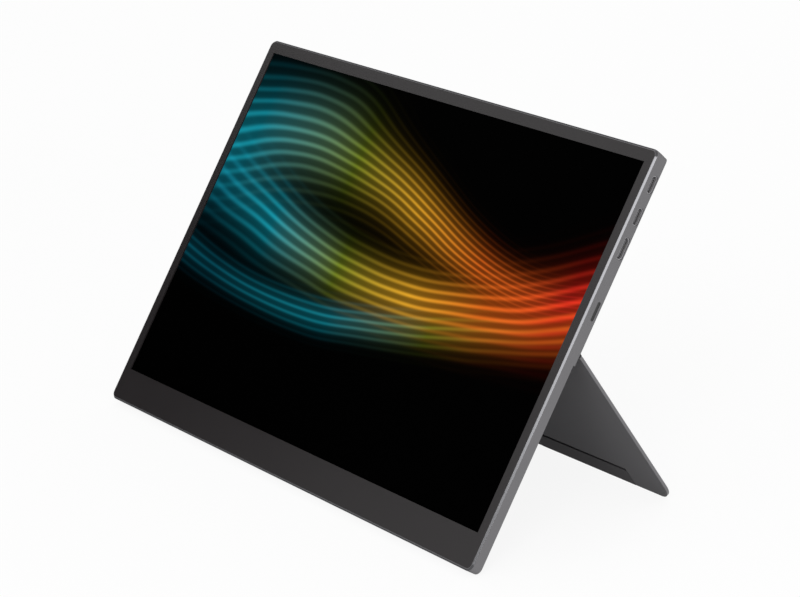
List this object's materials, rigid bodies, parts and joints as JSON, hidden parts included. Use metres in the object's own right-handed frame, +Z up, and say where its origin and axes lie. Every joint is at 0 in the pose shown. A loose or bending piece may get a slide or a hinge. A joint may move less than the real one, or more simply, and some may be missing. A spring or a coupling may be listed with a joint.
{
  "type": "portable monitor",
  "caption": "Slim flat screen in a metal housing that leans back on a full-width folding rear stand, with sockets and a push key in its right side.",
  "frame": {"origin": "middle of the bounding box on the desk surface, with the stand opened as in the picture", "axes": "+X to the viewer's right along the stand's hinge, +Y backwards away from the viewer, +Z up"},
  "size_m": [0.3578, 0.138, 0.1774],
  "materials": {
    "housing_metal": "dark grey anodised, bead-blasted",
    "stand_metal": "dark grey anodised, bead-blasted",
    "bezel_plastic": "fine matt black-grey",
    "display_glass": "smooth dark display cell",
    "clear_sheet": "clear optical sheet",
    "white_sheet": "white moulded",
    "tray_metal": "plain sheet",
    "board_laminate": "green solder mask",
    "chip_resin": "black moulding resin",
    "flex_film": "amber film",
    "foam": "black foam",
    "thermal_gel": "soft pad",
    "socket_metal": "drawn sheet",
    "key_plastic": "matt black",
    "rail_plastic": "matt black",
    "hinge_steel": "plain steel",
    "sole_rubber": "matt black rubber",
    "speaker_plastic": "black moulded"
  },
  "bodies": {
    "display": {"rear_housing": "housing_metal", "front_bezel": "bezel_plastic", "bezel_tape": "foam", "lcd_cell": "display_glass", "optical_films": "clear_sheet", "light_guide": "clear_sheet", "reflector_sheet": "white_sheet", "backlight_frame": "white_sheet", "backlight_tray": "tray_metal", "led_bar": "white_sheet", "panel_driver_board": "board_laminate", "driver_flexes": "flex_film", "panel_cable": "flex_film", "foam_strips": "foam", "main_board": "board_laminate", "scaler_chip": "chip_resin", "thermal_pad": "thermal_gel", "board_chips": "chip_resin", "power_inductors": "chip_resin", "cable_connectors": "white_sheet", "oval_socket_upper": "socket_metal", "oval_socket_lower": "socket_metal", "video_socket": "socket_metal", "socket_blades": "key_plastic", "board_screws": "hinge_steel", "key_switch": "speaker_plastic", "speaker_membranes": "speaker_plastic", "speaker_gaskets": "foam", "speaker_left": "speaker_plastic", "speaker_right": "speaker_plastic", "hinge_bracket_left": "hinge_steel", "hinge_bracket_right": "hinge_steel", "hinge_screws": "hinge_steel", "base_feet": "sole_rubber"},
    "stand": {"friction_washers": "hinge_steel", "hinge_pin_left": "hinge_steel", "hinge_pin_right": "hinge_steel", "stand_rail": "rail_plastic", "stand_plate": "stand_metal", "rail_screws": "hinge_steel", "stand_feet": "sole_rubber"},
    "key": {"menu_key": "key_plastic"}
  },
  "joints": [
    {"name": "stand_hinge", "type": "hinge", "parent": "display", "child": "stand", "pos_m": [0, 0.00607, 0.09181], "axis": [1, 0, 0], "range_deg": [-64.6, 25.4]},
    {"name": "key_press", "type": "slide", "parent": "display", "child": "key", "axis": [-1, 0, 0], "range_m": [0, 0.0004], "stiffness_N_per_m": 2000, "springref_m": -0.0002}
  ]
}
